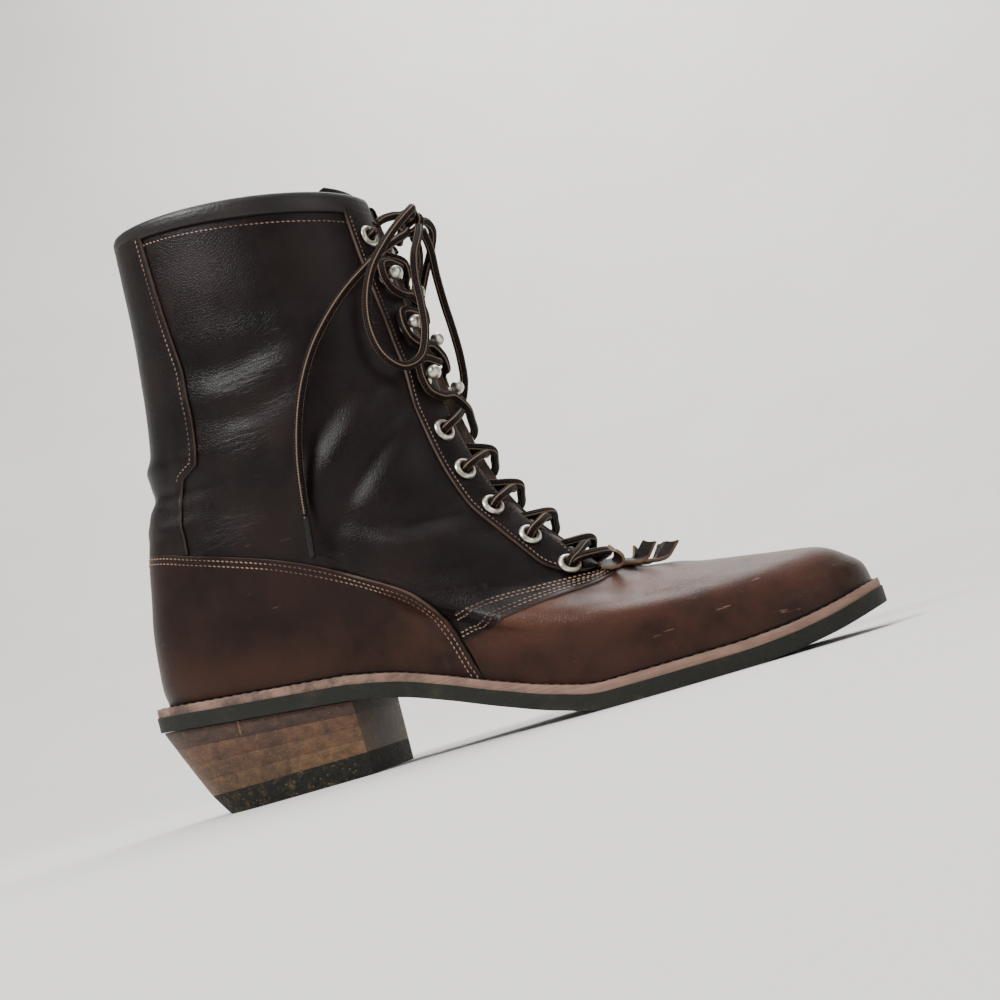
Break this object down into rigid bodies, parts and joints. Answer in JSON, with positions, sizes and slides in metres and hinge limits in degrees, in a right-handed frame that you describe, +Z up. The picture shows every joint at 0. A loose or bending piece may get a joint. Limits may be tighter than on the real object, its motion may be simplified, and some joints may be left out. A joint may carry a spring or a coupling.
{
  "type": "leather lace-up packer boot",
  "caption": "Left ankle-high leather work boot with a stacked block heel, a lacing slot with eyelets and ball hooks, a fringed kiltie and tied laces.",
  "frame": {"origin": "middle of the footprint box on the floor, under the sole, measured without the free lace", "axes": "+X along the sole to the toe, +Y to the outer side of the left foot, +Z up out of the collar"},
  "size_m": [0.3, 0.0994, 0.2456],
  "materials": {
    "sole_rubber": "worn black-green rubber",
    "heel_rubber": "speckled dark rubber, scuffed",
    "stacked_leather": "scratched stacked leather lifts",
    "welt_leather": "pale tan strip, matt",
    "foot_leather": "reddish brown oiled leather, worn and scuffed",
    "shaft_leather": "very dark brown leather with a slight sheen",
    "binding_leather": "black leather, rolled over the collar",
    "lining": "dark matt lining leather",
    "fringe_leather": "dark brown leather with tan cut edges",
    "nickel": "dull nickel plate",
    "lace_cord": "braided black-brown cord with two tan stripes",
    "aglet_plastic": "dark moulded tip"
  },
  "bodies": {
    "root": {"outsole": "sole_rubber", "welt": "welt_leather", "insole": "lining", "heel_top_lift": "heel_rubber", "heel_lift_1": "stacked_leather", "heel_lift_2": "stacked_leather", "heel_lift_3": "stacked_leather", "heel_lift_4": "stacked_leather", "upper": "shaft_leather", "counter": "foot_leather", "vamp": "foot_leather", "backstay": "shaft_leather", "eyestay_medial": "shaft_leather", "eyestay_lateral": "shaft_leather", "collar_binding": "binding_leather", "tongue": "foot_leather", "kiltie": "fringe_leather", "eyelet_medial_1": "nickel", "eyelet_lateral_1": "nickel", "eyelet_medial_2": "nickel", "eyelet_lateral_2": "nickel", "eyelet_medial_3": "nickel", "eyelet_lateral_3": "nickel", "eyelet_medial_4": "nickel", "eyelet_lateral_4": "nickel", "eyelet_medial_5": "nickel", "eyelet_lateral_5": "nickel", "hook_medial_6": "nickel", "hook_lateral_6": "nickel", "hook_medial_7": "nickel", "hook_lateral_7": "nickel", "hook_medial_8": "nickel", "hook_lateral_8": "nickel", "eyelet_medial_9": "nickel", "eyelet_lateral_9": "nickel", "lace_crossings": "lace_cord", "lace_knot": "lace_cord", "lace_loop_medial": "lace_cord", "lace_loop_lateral": "lace_cord", "lace_end_medial": "lace_cord", "lace_end_lateral": "lace_cord", "aglet_medial": "aglet_plastic", "aglet_lateral": "aglet_plastic"}
  },
  "joints": []
}
